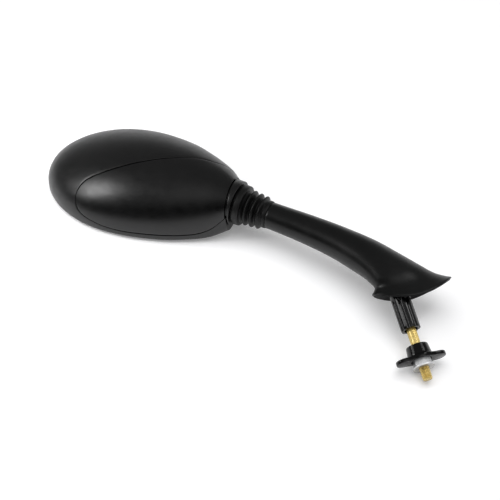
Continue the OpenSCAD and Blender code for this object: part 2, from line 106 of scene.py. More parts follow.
# ---------------------------------------------------------------- camera
FLOOR = -SEAT_H * MM
CAM_TURN, CAM_TILT = 18, 49                 # degrees from the y axis towards -x, and down
CAM_TARGET = Vector((-0.12965, 0.02668, FLOOR))
CAM_AWAY = 1.2


def make_camera():
    cam = bpy.data.objects.new("camera", bpy.data.cameras.new("camera"))
    scene.collection.objects.link(cam)
    cam.data.lens = 105
    cam.data.sensor_width = 36
    cam.data.sensor_fit = "HORIZONTAL"
    cam.data.clip_start = 0.05
    cam.data.clip_end = 30
    right = Vector((cosd(CAM_TURN), sind(CAM_TURN), 0))
    look = Vector((-right.y * cosd(CAM_TILT), right.x * cosd(CAM_TILT), -sind(CAM_TILT)))
    above = right.cross(look)
    place = CAM_TARGET - look * CAM_AWAY
    cam.matrix_world = Matrix((
        (right.x, above.x, -look.x, place.x),
        (right.y, above.y, -look.y, place.y),
        (right.z, above.z, -look.z, place.z),
        (0, 0, 0, 1)))
    scene.camera = cam


make_camera()
scene.view_settings.view_transform = "Standard"


# ---------------------------------------------------------------- numbers
def mix(a, b, t):
    return a + (b - a) * t


def clamp(v):
    return min(max(v, 0), 1)


def span(a, b, n):
    """n even steps from a to b, both ends included."""
    return [mix(a, b, i / n) for i in range(n + 1)]


def power(v, p):
    return math.copysign(abs(v) ** p, v)


def angles(n):
    """n angles round a circle, in degrees."""
    return [360 * j / n for j in range(n)]


def curve(rows, x):
    """Row at x of a table whose first column is x, by smooth (Hermite) interpolation."""
    k = 0
    while k < len(rows) - 2 and x >= rows[k + 1][0]:
        k += 1

    def slope(i):
        a, b = rows[max(i - 1, 0)], rows[min(i + 1, len(rows) - 1)]
        return [(q - p) / (b[0] - a[0]) for p, q in zip(a, b)]

    h = rows[k + 1][0] - rows[k][0]
    t = (x - rows[k][0]) / h
    t2, t3 = t * t, t * t * t
    return [(2 * t3 - 3 * t2 + 1) * p + (t3 - 2 * t2 + t) * h * d
            + (3 * t2 - 2 * t3) * q + (t3 - t2) * h * e
            for p, d, q, e in zip(rows[k], slope(k), rows[k + 1], slope(k + 1))]


# ---------------------------------------------------------------- mesh helpers
SHARP = 32.0                                # edges sharper than this stay sharp, in degrees
WELD = 1e-7


def finish_mesh(obj, sharp):
    bm = bmesh.new()
    bm.from_mesh(obj.data)
    bmesh.ops.remove_doubles(bm, verts=bm.verts, dist=WELD)
    bmesh.ops.recalc_face_normals(bm, faces=bm.faces)
    for f in bm.faces:
        f.smooth = True
    bm.to_mesh(obj.data)
    bm.free()
    obj.data.set_sharp_from_angle(angle=math.radians(sharp))


def new_mesh(name, verts, faces, sharp):
    mesh = bpy.data.meshes.new(name)
    mesh.from_pydata([tuple(v * MM) for v in verts], [], faces)
    obj = bpy.data.objects.new(name, mesh)
    scene.collection.objects.link(obj)
    finish_mesh(obj, sharp)
    return obj


def loft(name, rings, hoop=False, sharp=SHARP):
    """Skin over rings of points: a fan closes each end, or as a hoop the last meets the first."""
    n, m = len(rings[0]), len(rings)
    verts = [p for ring in rings for p in ring]
    faces = []
    for i in range(m if hoop else m - 1):
        k = (i + 1) % m
        for j in range(n):
            q = (j + 1) % n
            faces.append((i * n + j, i * n + q, k * n + q, k * n + j))
    if not hoop:
        for i in (0, m - 1):
            verts.append(sum(verts[i * n:i * n + n], Vector()) / n)
            for j in range(n):
                faces.append((i * n + j, i * n + (j + 1) % n, len(verts) - 1))
    return new_mesh(name, verts, faces, sharp)


def lathe(name, where, profile, n=128, hoop=True, fun=None, sharp=SHARP):
    """Turned piece: rows of (radius, place on the axis); fun(r, angle, z) changes the radius."""
    rings = [[where(fun(r, a, z) if fun else r, a, z) for a in angles(n)] for r, z in profile]
    return loft(name, rings, hoop=hoop, sharp=sharp)


def cut(obj, *cutters):
    """Boolean difference, applied."""
    for c in cutters:
        m = obj.modifiers.new("cut", "BOOLEAN")
        m.operation = "DIFFERENCE"
        m.solver = "EXACT"
        m.object = c
    deps = bpy.context.evaluated_depsgraph_get()
    mesh = bpy.data.meshes.new_from_object(obj.evaluated_get(deps))
    obj.modifiers.clear()
    old = obj.data
    obj.data = mesh
    bpy.data.meshes.remove(old)
    for c in cutters:
        bpy.data.objects.remove(c)
    finish_mesh(obj, SHARP)


def on_neck(r, ang, w):
    return NECK_AT + NECK_DIR * w + NECK_SIDE * (r * sind(ang)) - UP * (r * cosd(ang))


def on_stud(r, ang, s):
    return STUD_DIR * s + FOOT_U * (r * sind(ang)) - STUD_UP * (r * cosd(ang))


def arc(cx, cz, r, a0, a1, n):
    return [(cx + r * cosd(a), cz + r * sind(a)) for a in span(a0, a1, n)]


def dress(obj, material, body, slot, *nodes):
    obj.data.materials.clear()
    obj.data.materials.append(material)
    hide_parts(*nodes)
    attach(obj, body)


# ---------------------------------------------------------------- materials
def blank_material(name):
    m = bpy.data.materials.new(name)
    m.use_nodes = True
    m.node_tree.nodes.clear()
    return m, m.node_tree, m.node_tree.nodes.new("ShaderNodeOutputMaterial")


def principled(name):
    m, t, out = blank_material(name)
    p = t.nodes.new("ShaderNodeBsdfPrincipled")
    t.links.new(p.outputs["BSDF"], out.inputs["Surface"])
    return m, t, p


def noise(t, scale, detail=3.0, rough=0.5, stretch=None):
    co = t.nodes.new("ShaderNodeTexCoord").outputs["Object"]
    if stretch:
        mp = t.nodes.new("ShaderNodeMapping")
        mp.inputs["Scale"].default_value = stretch
        t.links.new(co, mp.inputs["Vector"])
        co = mp.outputs["Vector"]
    n = t.nodes.new("ShaderNodeTexNoise")
    n.inputs["Scale"].default_value = scale
    n.inputs["Detail"].default_value = detail
    n.inputs["Roughness"].default_value = rough
    t.links.new(co, n.inputs["Vector"])
    return n.outputs["Fac"]


def map_range(t, value, start, end, lo, hi):
    r = t.nodes.new("ShaderNodeMapRange")
    r.inputs["From Min"].default_value = start
    r.inputs["From Max"].default_value = end
    r.inputs["To Min"].default_value = lo
    r.inputs["To Max"].default_value = hi
    t.links.new(value, r.inputs["Value"])
    return r


def remap(t, fac, lo, hi, start=0.3, end=0.7):
    """Stretches a noise's middle range to lo .. hi."""
    return map_range(t, fac, start, end, lo, hi).outputs["Result"]


def maths(t, op, a, b):
    """Math node on two values, each an output or a float."""
    n = t.nodes.new("ShaderNodeMath")
    n.operation = op
    for k, v in enumerate((a, b)):
        if isinstance(v, float):
            n.inputs[k].default_value = v
        else:
            t.links.new(v, n.inputs[k])
    return n.outputs[0]


def shades(t, p, fac, dark, light):
    """Base colour, mixed from two shades."""
    m = t.nodes.new("ShaderNodeMix")
    m.data_type = "RGBA"
    t.links.new(fac, m.inputs["Factor"])
    m.inputs[6].default_value = (*dark, 1)      # the sockets A, B and Result of its colour mode
    m.inputs[7].default_value = (*light, 1)
    t.links.new(m.outputs[2], p.inputs["Base Color"])


def uneven(t, p, fac, rough, spread):
    """Roughness, varied by spread either way."""
    t.links.new(remap(t, fac, rough - spread, rough + spread), p.inputs["Roughness"])


def bumps(t, p, layers):
    """Stacks bump layers: (height output, distance in metres, strength)."""
    last = None
    for height, dist, strength in layers:
        b = t.nodes.new("ShaderNodeBump")
        b.inputs["Distance"].default_value = dist
        b.inputs["Strength"].default_value = strength
        t.links.new(height, b.inputs["Height"])
        if last:
            t.links.new(last, b.inputs["Normal"])
        last = b.outputs["Normal"]
    t.links.new(last, p.inputs["Normal"])


def plastic(name, dark, light, rough, spread=0.05, grain=2600.0, depth=0.00003, ior=1.48):
    """Moulded plastic: two close shades, fine spark-eroded grain, slow waviness, uneven gloss."""
    m, t, p = principled(name)
    slow = noise(t, 38, 4, 0.55)
    fine = noise(t, grain, 2)
    speck = noise(t, grain * 0.42, 2)
    shades(t, p, remap(t, slow, 0, 1), dark, light)
    uneven(t, p, noise(t, 150, 4, 0.6), rough, spread)
    p.inputs["IOR"].default_value = ior
    bumps(t, p, [(fine, depth, 0.6), (speck, depth * 1.6, 0.35), (slow, 0.00002, 0.5)])
    return m


def metal(name, dark, light, rough, spread=0.06, scratch=900.0, stretch=None, depth=0.00002,
          metallic=1.0):
    """Plated or cast metal: two close shades and fine scratches that also vary the gloss."""
    m, t, p = principled(name)
    slow = noise(t, 120, 4, 0.6)
    fine = noise(t, scratch, 3, 0.6, stretch)
    shades(t, p, remap(t, slow, 0, 1), dark, light)
    uneven(t, p, fine, rough, spread)
    p.inputs["Metallic"].default_value = metallic
    bumps(t, p, [(fine, depth, 0.5)])
    return m


def rubber(name, dark, light, rough):
    """Dull rubber: fine tooth, and dust that lightens it in places."""
    m, t, p = principled(name)
    slow = noise(t, 60, 4, 0.6)
    fine = noise(t, 1500, 3, 0.6)
    dust = noise(t, 260, 5, 0.65)
    shades(t, p, remap(t, dust, 0, 1, 0.42, 0.68), dark, light)
    uneven(t, p, slow, rough, 0.06)
    p.inputs["IOR"].default_value = 1.38
    bumps(t, p, [(fine, 0.00005, 0.6), (dust, 0.00006, 0.3)])
    return m


def foam_material():
    m, t, p = principled("foam")
    cells = t.nodes.new("ShaderNodeTexVoronoi")
    cells.inputs["Scale"].default_value = 1300
    t.links.new(t.nodes.new("ShaderNodeTexCoord").outputs["Object"], cells.inputs["Vector"])
    height = cells.outputs["Distance"]
    shades(t, p, remap(t, height, 0, 1, 0, 0.7), (0.02, 0.02, 0.02), (0.05, 0.05, 0.052))
    t.links.new(remap(t, noise(t, 200), 0.8, 0.95), p.inputs["Roughness"])
    bumps(t, p, [(height, 0.0003, 0.8)])
    return m


def mirror_material():
    m, t, p = principled("mirror")
    smear = noise(t, 45, 5, 0.6, (1, 2.5, 1))
    shades(t, p, remap(t, smear, 0, 1), (0.78, 0.81, 0.83), (0.84, 0.86, 0.87))
    t.links.new(remap(t, smear, 0.015, 0.06, 0.35, 0.75), p.inputs["Roughness"])
    p.inputs["Metallic"].default_value = 1.0
    bumps(t, p, [(noise(t, 9, 2), 0.00002, 0.3)])
    return m


FINE = 0.00002                              # depth of the finer grain, in metres
M_HOUSING = plastic("housing_plastic", (0.0013, 0.0013, 0.0014), (0.0022, 0.0022, 0.0023),
                    0.37, depth=FINE)
M_COVER = plastic("cover_plastic", (0.0012, 0.0012, 0.0013), (0.0021, 0.0021, 0.0022),
                  0.34, depth=FINE)
M_COLLAR = plastic("collar_plastic", (0.0012, 0.0012, 0.0013), (0.0020, 0.0020, 0.0021), 0.38)
M_ARM = plastic("arm_plastic", (0.0012, 0.0013, 0.0013), (0.0020, 0.0021, 0.0021),
                0.36, grain=2000.0, depth=FINE, ior=1.40)
M_BOOT = rubber("boot_rubber", (0.0014, 0.0014, 0.0014), (0.0028, 0.0029, 0.0028), 0.46)
M_PAD = rubber("pad_rubber", (0.0080, 0.0080, 0.0085), (0.0140, 0.0140, 0.0145), 0.70)
M_SLEEVE = plastic("sleeve_plastic", (0.0012, 0.0012, 0.0014), (0.0022, 0.0022, 0.0024),
                   0.17, 0.04, grain=1500.0, ior=1.42)
M_WASHER = plastic("washer_plastic", (0.0012, 0.0012, 0.0013), (0.0024, 0.0024, 0.0025),
                   0.15, 0.05, grain=1500.0, ior=1.37)
M_HOLDER = plastic("holder_plastic", (0.020, 0.020, 0.022), (0.028, 0.028, 0.030), 0.50)
M_STUD = metal("plated_steel", (0.70, 0.50, 0.12), (0.88, 0.70, 0.29),
               0.28, 0.07, 1400.0, metallic=0.55)
M_NUT = metal("nut_steel", (0.80, 0.81, 0.83), (0.92, 0.93, 0.94),
              0.22, 0.07, 1100.0, metallic=0.35)
M_SCREW = metal("screw_steel", (0.48, 0.49, 0.50), (0.60, 0.61, 0.62), 0.33, 0.08, 1200.0)
M_ALLOY = metal("socket_alloy", (0.42, 0.43, 0.45), (0.52, 0.53, 0.54),
                0.45, 0.10, 700.0, depth=0.00006)
M_SPRING = metal("spring_steel", (0.40, 0.40, 0.41), (0.50, 0.50, 0.51),
                 0.30, 0.08, 1000.0, (1, 1, 6))
M_ROD = metal("rod_steel", (0.46, 0.47, 0.48), (0.58, 0.59, 0.60), 0.22, 0.06, 900.0, (1, 5, 5))
M_ACETAL = plastic("cup_plastic", (0.56, 0.54, 0.46), (0.64, 0.62, 0.54), 0.38, 0.05, 900.0)
M_ZINC = metal("pressed_zinc", (0.50, 0.51, 0.50), (0.60, 0.61, 0.59), 0.40, 0.08, 800.0)
M_FOAM = foam_material()
M_MIRROR = mirror_material()

# ---------------------------------------------------------------- head
# A row for each station from the tip, 0, to the neck, 90: station, y of the middle, width as a
# share of HEAD_W, height of the widest line, rise above it as a share of HEAD_H, drop below it in
# mm, turn in degrees, and share of the lean of the head's end.
HEAD = [
    [0, -8.5, 0, 6, 0, 0, 0, 0],
    [12, -8.5, 0.31, 6, 0.24, 6, 0, 0],
    [24, -8.5, 0.595, 6, 0.45, 6, 0, 0],
    [36, -8.5, 0.83, 6, 0.64, 6, 0, 0],
    [48, -8.5, 0.975, 6, 0.815, 6, 0, 0],
    [60, -8.5, 1, 6, 0.94, 6, 0, 0],
    [72, -9.3, 0.9, 6.5, 0.975, 6.5, 0, 0],
    [80, -11.5, 0.735, 8.5, 0.92, 8.5, -1, 0.1],
    [86, -15, mix(COLLAR_D, HEAD_W, 0.314) / HEAD_W, 14, 0.763, 13, -4, 0.5],
    [90, END_Y, (COLLAR_D + 1.6) / HEAD_W, NECK_H,
     COLLAR_D / 2 / HEAD_H, COLLAR_D / 2 + 1.5, END_TURN, 1],
]
LEAN = tand(END_LEAN) / cosd(YAW)

# the cover's upper and lower seam: station, angle round the head's section from its near side
TOPS = [[39, 63.5], [43, 62], [46.6, 63], [50.8, 68.8], [58.7, 79.3], [66.6, 89.4], [72, 95.9],
        [79, 108], [82, 114], [86, 131], [90, 147]]
LOWS = [[39, 8.5], [45.6, 8.6], [49.6, 5.9], [53.5, 3.6], [60, 2.4], [66, 2.6], [75, 2.4],
        [82, 0.7], [86.5, 0.6], [90, 0.6]]
NOSE_AT, NOSE_ANGLE = 40.35, 33.0           # where the seam starts, as a round nose
NOSE_LOW, NOSE_TOP = 7.0, 8.0               # stations from the nose to the seam's full spread
COVER_LEAD = 0.3                            # stations by which the cover starts later
# rounding of an edge: rows of (share of the edge's width, depth in mm)
RECESS_EDGE = [(0.62, 0), (0.3, 0.05), (0.1, 0.22), (0, 0.6)]
COVER_EDGE = [(0, 1.4), (0, 0.5), (0.12, 0.2), (0.45, 0.05)]


def head_point(r, a, f, inset):
    """Point at station a, whose row is r, and angle f round its section, inset mm inside."""
    _, mid_y, width, mid_z, rise, drop, turned, lean = r
    w = max(width * HEAD_W / 2 - inset, 0.02)
    up = max(rise * HEAD_H - inset, 0.02)
    down = max(drop - inset, 0.02)
    c, s = power(cosd(f), 0.95), sind(f)
    z = mid_z + (up * power(s, 0.95) if s > 0 else down * power(s, 0.34))
    x = -(HEAD_L - inset) * cosd(a) + w * c * sind(turned) - lean * LEAN * (z - NECK_H)
    return HEAD_AT + Vector((x, mid_y - w * c * cosd(turned), z))


def seam_pair(a, lead=0.0):
    """The seam's two sides at a station, as angles; they part at the nose in a quarter circle."""
    out = []
    for rows, reach in ((LOWS, NOSE_LOW), (TOPS, NOSE_TOP)):
        u = clamp((a - NOSE_AT - lead) / (reach - lead))
        out.append(mix(NOSE_ANGLE, curve(rows, a)[1], math.sqrt(u * (2 - u))))
    return out[0], max(out[1], out[0])


def stations(lead, first, last):
    """Stations from the nose, close together there, to the neck."""
    start = NOSE_AT + lead
    return ([start + (8 - lead) * t ** 2.5 for t in span(first, 1, 26)]
            + span(NOSE_AT + 8.7, 84, 42) + span(84.5, last, 14))


def housing_ring(a):
    """Outside of the housing at a station, let in between the two sides of the seam."""
    r = curve(HEAD, a)
    if a > NOSE_AT:
        lo, hi = seam_pair(a)
        e = min(1.0, (hi - lo) / 4)
        depth, k = COVER_T + GAP, 1.0
    else:
        # the same points, spread over the smooth back
        t = (NOSE_AT - a) / NOSE_AT
        lo, hi = mix(NOSE_ANGLE, 3, t), mix(NOSE_ANGLE + 0.2, 150, t)
        e = 0.2 * (hi - lo)
        depth, k = 0.0, 0.0
    pts = [head_point(r, a, lo - s * e, d * k) for s, d in RECESS_EDGE]
    pts += [head_point(r, a, f, depth) for f in span(lo + 0.06 * e, hi - 0.06 * e, 70)]
    pts += [head_point(r, a, hi + s * e, d * k) for s, d in reversed(RECESS_EDGE)]
    # on down the far side to the rim, and back under it with more points
    rim = 178
    far = span(hi + 0.62 * e, rim, 30)[1:]
    under = span(rim, 360 + lo - 0.62 * e, 70)[1:-1]
    return pts + [head_point(r, a, f, 0) for f in far + under]


def hollow_ring(a):
    """Inside of the housing at a station: a wall's depth in, and deeper under the cover."""
    r = curve(HEAD, a)
    along = 1 if a > NOSE_AT else max(1 - (NOSE_AT - a) / 9, 0)
    pts = []
    for f in angles(72):
        off = abs((f + 90) % 360 - 90 - 60)     # degrees from the cover's middle, at 60
        across = clamp(1 - (off - 62) / 12)
        pts.append(head_point(r, a, f, WALL + (COVER_T + GAP) * along * across))
    return pts


def cover_ring(a):
    """Closed section of the cover at a station: its outside, its two edges and its inside."""
    r = curve(HEAD, a)
    lo, hi = seam_pair(a, COVER_LEAD)
    m = min(1.0, (hi - lo) / 5)
    lo, hi = lo + m, hi - m
    b = min(0.5, (hi - lo) / 6)
    pts = [head_point(r, a, lo + s * b, d) for s, d in COVER_EDGE]
    pts += [head_point(r, a, f, 0) for f in span(lo + b, hi - b, 70)]
    pts += [head_point(r, a, hi - s * b, d) for s, d in reversed(COVER_EDGE)]
    return pts + [head_point(r, a, f, COVER_T) for f in span(hi, lo, 24)]


def outline(d):
    """Outline of the glass and of everything behind it, d inside the housing's edge."""
    near, far = [], []
    for a in span(2.6, 74, 60) + span(75, 83, 8) + span(83.4, 86, 10):
        _, mid_y, width = curve(HEAD, a)[:3]
        past = max(a - 74, 0)               # behind station 74 it rounds off before the neck
        w = width * HEAD_W / 2 - d - HEAD_W * (0.00071 * past ** 2
                                               + 0.11 * (max(a - 83, 0) / 3) ** 4)
        x = -(HEAD_L - d) * cosd(a) - d * (past / 12) ** 2
        w = max(w, 0.06 + 0.01 * a)
        near.append((x, mid_y - w))
        far.append((x, mid_y + w))
    return near + far[::-1]


def plate(name, rows):
    """Stack of outlines: rows of (inset, height)."""
    return loft(name, [[HEAD_AT + Vector((x, y, z)) for x, y in outline(d)] for d, z in rows])


def make_housing():
    at = [0.7, 1.4, 2.2] + span(3, NOSE_AT - 0.12, 40) + stations(0, 0.09, 90)
    body = loft("head_shell", [housing_ring(a) for a in at])
    inside = [3, 8, 14, 20, 26] + span(31, 85, 27) + [87]
    hollow = loft("hollow", [hollow_ring(a) for a in inside])
    slab = plate("slab", [(2.6, -1), (2.6, 8.65)])
    bore = lathe("bore", on_neck, [(SOCKET_R + GAP, -17.0), (SOCKET_R + GAP, 5)], 96, hoop=False)
    cut(body, hollow, slab, bore)
    dress(body, M_HOUSING, "head", "housing_plastic", "head_housing")


def make_cover():
    body = loft("back_cover", [cover_ring(a) for a in stations(COVER_LEAD, 0.06, 89.8)])
    dress(body, M_COVER, "head", "housing_plastic", "rear_cover")


def make_glass():
    glass = plate("glass", [(6.5, GLASS_Z), (6.12, GLASS_Z + 0.1), (6.0, GLASS_Z + 0.35),
                            (6.0, GLASS_Z + 1.9), (6.1, GLASS_Z + 2)])
    dress(glass, M_MIRROR, "head", "mirror", "mirror_glass")
    holder = plate("glass_frame", [(5.7, HOLDER_Z), (5.7, GLASS_Z + 0.1), (5.45, GLASS_Z - 0.2),
                                   (3.9, GLASS_Z - 0.2), (3.6, GLASS_Z + 0.1),
                                   (3.6, HOLDER_Z + 2.6)])
    dress(holder, M_HOLDER, "head", "holder_plastic", "glass_holder")


make_housing()
make_cover()
make_glass()


# ---------------------------------------------------------------- collar and boot
def on_collar(r, ang, z):
    """The collar's end against the head lies in the plane of the head's end."""
    k = clamp((3.9 - z) / 2.4)
    side = tand(END_TURN - YAW) * r * sind(ang)
    return on_neck(r, ang, z + k * (tand(END_LEAN) * r * cosd(ang) - side))


def make_collar():
    out, cuff, inner = COLLAR_D / 2, CUFF_D / 2, SOCKET_R + GAP
    rows = [(out - 1.5, 0.02), (out - 1.5, 0.62), (out - 0.62, 0.66), (out - 0.3, 0.74),
            (out - 0.08, 0.95), (out, 1.25)]
    rows += arc(out - 0.45, COLLAR_L - 0.45, 0.45, 0, 85, 5)
    rows += [(cuff - 2.1, COLLAR_L), (cuff - 2.1, COLLAR_L + 4.7), (cuff - 2.3, COLLAR_L + 5),
             (inner, COLLAR_L + 5), (inner, 0.02)]
    dress(lathe("collar", on_collar, rows, 160), M_COLLAR, "head", "collar_plastic",
          "collar_ring")


make_collar()

FOLD_ROOT, BOOT_IN, TAIL_IN = 11.1, 10.2, 9.02      # radii: between folds, inside, on the arm


def fold(start, end, top, n=20):
    """Profile of one ring of the boot."""
    return [(FOLD_ROOT + (top - FOLD_ROOT) * sind(180 * i / n) ** 1.9, mix(start, end, i / n))
            for i in range(n + 1)]


CUFF = [(r, CUFF_AT + z) for r, z in (
    (15.25, 0), (15.3, 0.75), (15.9, 0.85), (16.5, 1.0), (16.85, 1.25), (17, 1.7), (17, 3),
    (17, 4.6), (16.95, 5.6), (16.75, 6.1), (16.3, 6.45), (15.4, 6.7), (13.6, 6.9), (11.9, 7.1),
    (FOLD_ROOT, 7.5))] + fold(FOLD0, FOLD1, 15) + [
    (BOOT_IN, FOLD1), (BOOT_IN, FOLD0 + 2), (15.25, FOLD0 - 2.5)]
RING = fold(FOLD1, FOLD2, 14.5) + [(BOOT_IN, FOLD2), (BOOT_IN, FOLD1)]
TAIL = fold(FOLD2, FOLD3 - 0.2, 14) + [
    (11.3, FOLD3 + 0.3), (11.6, FOLD3 + 0.5), (11.72, FOLD3 + 0.9), (11.6, ARM_AT - 0.8),
    (11.4, ARM_AT - 0.3), (11.1, ARM_AT - 0.05), (TAIL_IN, ARM_AT - 0.05), (TAIL_IN, FOLD3 - 1),
    (BOOT_IN, FOLD3 - 2), (BOOT_IN, FOLD2)]


# one moulding in three pieces, each turned round the neck's axis
for name, rows, a, b, w0, w1 in (
        ("boot_cuff", CUFF, "head", "cup_front", 9.0, FOLD1 - 0.6),
        ("boot_ring", RING, "cup_front", "cup_back", FOLD1 + 0.6, FOLD2 - 0.6),
        ("boot_tail", TAIL, "cup_back", "arm", FOLD2 + 0.6, ARM_AT - 2)):
    o = lathe(name, on_neck, rows)
    o.data.materials.append(M_BOOT)
    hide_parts("bellows_boot")
    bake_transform(o)

# ---------------------------------------------------------------- arm and foot
ARM_FROM = NECK_AT + NECK_DIR * ARM_AT
FOOT_MID = FOOT_U * (FOOT_L / 2 - FOOT_BACK)
ARM_LATE = Vector((cosd(-27), sind(-27), -0.1))     # the way that the arm runs into the foot
ARM_P1 = ARM_FROM + NECK_DIR * 38
ARM_P2 = FOOT_MID - ARM_LATE * 50
ARM_ANGLES = angles(160)
HOLE, STUD_BORE, ROD_BORE, SPIGOT = SLEEVE_D / 2, 5.02, 4.02, 8.95      # radii


def bend(t):
    """Point of the arm's middle line, a Bezier curve from the neck to the foot."""
    u = 1 - t
    return (ARM_FROM * (u * u * u) + ARM_P1 * (3 * u * u * t) + ARM_P2 * (3 * u * t * t)
            + FOOT_MID * (t * t * t))


def arm_row(t, half_u, half_v, turned, flare):
    """Row of the arm's table: t, middle, directions u and v, half sizes along them, flare."""
    d = bend(t + 0.01) - bend(t)
    side = Vector((-d.y, d.x, 0)).normalized()
    u = mix(side, FOOT_U, turned).normalized()
    v = mix(UP, FOOT_V, turned).normalized()
    return [t, *bend(t), *u, *v, half_u, half_v, flare]


AR, AE = ARM_D / 2, ARM_END / 2
ARM_ROWS = [arm_row(*row) for row in (
    (0, AR, AR, 0, 0),
    (0.1, AR + 0.3, AR + 0.2, 0, 0),
    (0.3, AR + 1.2, AR + 1, 0, 0),
    (0.5, AR + 2.5, AR + 2.2, 0.02, 0),
    (0.68, AE + 0.5, AE - 1, 0.18, 0),
    (0.8, AE + 3, AE - 0.7, 0.5, 0.1),
    (0.89, AE + 6.5, AE - 0.4, 0.8, 0.35),
    (0.95, FOOT_L / 2 - 7.6, FOOT_W / 2 - 2.8, 0.94, 0.7),
    (0.985, FOOT_L / 2 - 3.0, FOOT_W / 2 - 1.6, 1, 0.92),
    (1, FOOT_L / 2, FOOT_W / 2, 1, 1))]


def saddle(v):
    """Depth of the hollow seat, v from its middle line."""
    return SEAT_R - math.sqrt(SEAT_R * SEAT_R - v * v)


def leaf(f):
    """The foot's outline is a little more pointed than an ellipse."""
    return power(sind(f), 1.15)


def arm_ring(t):
    row = curve(ARM_ROWS, t)
    mid, u, v = Vector(row[1:4]), Vector(row[4:7]), Vector(row[7:10])
    half_u, half_v, flare = row[10:]
    out = []
    for f in ARM_ANGLES:
        q = half_v * mix(sind(f), leaf(f), flare)
        sunk = flare * saddle(min(abs(q), FOOT_W / 2)) - 1.6 * flare
        out.append(mid + u * (half_u * cosd(f)) + v * q + FOOT_N * sunk)
    return out


def foot_ring(k, h):
    """Foot's outline times k, on the seat, h mm out of it."""
    out = []
    for f in ARM_ANGLES:
        q = k * FOOT_W / 2 * leaf(f)
        out.append(FOOT_MID * mix(0.5, 1, k) + FOOT_U * (k * FOOT_L / 2 * cosd(f)) + FOOT_V * q
                   + FOOT_N * (saddle(q) + h))
    return out


def mouth_ring(r, h=0.0):
    """Circle round the stud where it meets the seat, h mm out of it."""
    out = []
    b = SEAT_R * cosd(SEAT_TILT)
    for f in ARM_ANGLES:
        q = r * sind(f)
        s = b - math.sqrt(b * b - q * q - 2 * SEAT_R * q * sind(SEAT_TILT))
        out.append(FOOT_U * (r * cosd(f)) + STUD_UP * q + STUD_DIR * s + FOOT_N * h)
    return out


def stud_ring(r, s):
    return [FOOT_U * (r * cosd(f)) + STUD_UP * (r * sind(f)) + STUD_DIR * s for f in ARM_ANGLES]


def neck_ring(r, w):
    return [NECK_AT + NECK_DIR * w + NECK_SIDE * (r * cosd(f)) + UP * (r * sind(f))
            for f in ARM_ANGLES]


def blend_rings(a, b, n):
    """The rings between two rings."""
    return [[mix(p, q, i / n) for p, q in zip(a, b)] for i in range(1, n)]


def make_arm():
    """From the rod's bore over the neck's end, along the arm and round the foot to the stud."""
    rings = [neck_ring(r, ARM_AT + w) for r, w in (
        (ROD_BORE, 22), (ROD_BORE, -7), (8.5, -7), (SPIGOT, -6.5), (SPIGOT, 0.02), (10.2, 0.02),
        (10.7, 0.12), (10.95, 0.42))]
    rings += [arm_ring(t) for t in span(0.012, 0.8, 56) + span(0.805, 1, 58)]
    rings += [foot_ring(k, h) for k, h in (
        (1.004, -1.4), (1.007, -1.1), (1.007, -0.8), (1.003, -0.5), (0.994, -0.2),
        (0.98, -0.04), (0.965, 0))]
    rings += [foot_ring(k, 0) for k in span(0.93, 0.5, 12)]
    mouth = mouth_ring(HOLE)
    rings += blend_rings(rings[-1], mouth, 6) + [mouth]
    rings += [stud_ring(r, s) for r, s in (
        (HOLE, SLEEVE_IN), (STUD_BORE, SLEEVE_IN), (STUD_BORE, STUD_IN))]
    dress(loft("arm_shell", rings, sharp=38), M_ARM, "arm", "arm_plastic", "arm")


def make_pad():
    inner = [foot_ring(0.965, 0.02)] + [foot_ring(k, 0) for k in span(0.9, 0.5, 10)]
    inner += blend_rings(inner[-1], mouth_ring(HOLE), 5) + [mouth_ring(HOLE)]
    outer = [mouth_ring(HOLE, 0.85), mouth_ring(HOLE + 0.3, 1.0)]
    outer += blend_rings(outer[-1], foot_ring(0.5, 1), 5)
    outer += [foot_ring(k, 1) for k in span(0.5, 0.94, 11)]
    outer += [foot_ring(0.958, 0.92), foot_ring(0.968, 0.7), foot_ring(0.972, 0.4)]
    dress(loft("foot_pad", inner + outer, hoop=True), M_PAD, "arm", "pad_rubber", "seat_pad")


make_arm()
make_pad()


# ---------------------------------------------------------------- sleeve, stud, washer and nut
def groove(phi, centre, radius):
    """Radius where the ray phi degrees off a round groove's middle meets it, or infinity."""
    s = radius ** 2 - (centre * sind(phi)) ** 2
    return centre * cosd(phi) - math.sqrt(s) if s > 0 else math.inf


def flute(r, ang, z):
    """Eight flutes on the outside of the sleeve, running out near the foot."""
    depth = clamp((z - 7.9) / 1.4)
    if r < SLEEVE_D / 2 - 1.2 or depth <= 0:
        return r
    return min(r, mix(r, groove(abs(ang % 45 - 22.5), SLEEVE_D / 2 + 0.9, 2.0), depth))


def make_sleeve():
    out, bore = SLEEVE_D / 2, SLEEVE_BORE / 2
    along = [SLEEVE_IN, 0, 4, 7.5, 7.9, 8.2, 8.6, 9.0, 9.4] + span(11, SLEEVE_L - 0.5, 12)
    rows = [(out, z) for z in along]
    rows += [(out - 0.12, SLEEVE_L - 0.15), (out - 0.45, SLEEVE_L), (bore + 0.3, SLEEVE_L),
             (bore, SLEEVE_L - 0.3), (bore, SLEEVE_IN)]
    dress(lathe("sleeve_tube", on_stud, rows, 240, fun=flute, sharp=30), M_SLEEVE, "arm",
          "sleeve_plastic", "sleeve")


SHAFT, MINOR, MAJOR, LEAD = 3.8, 3.36, 3.97, 1.25   # radii of stud and thread, and its lead
BORE = 4.05                                         # radius of the washer's and nut's bore
THREAD_AT = WASHER_AT - 4


def spline(r, ang, z):
    """Twelve fine grooves along the stud's middle."""
    if z < 20 or z > WASHER_AT - 4.2:
        return r
    return min(r, groove(abs((ang + 15) % 30 - 15), SHAFT + 0.2, 0.5))


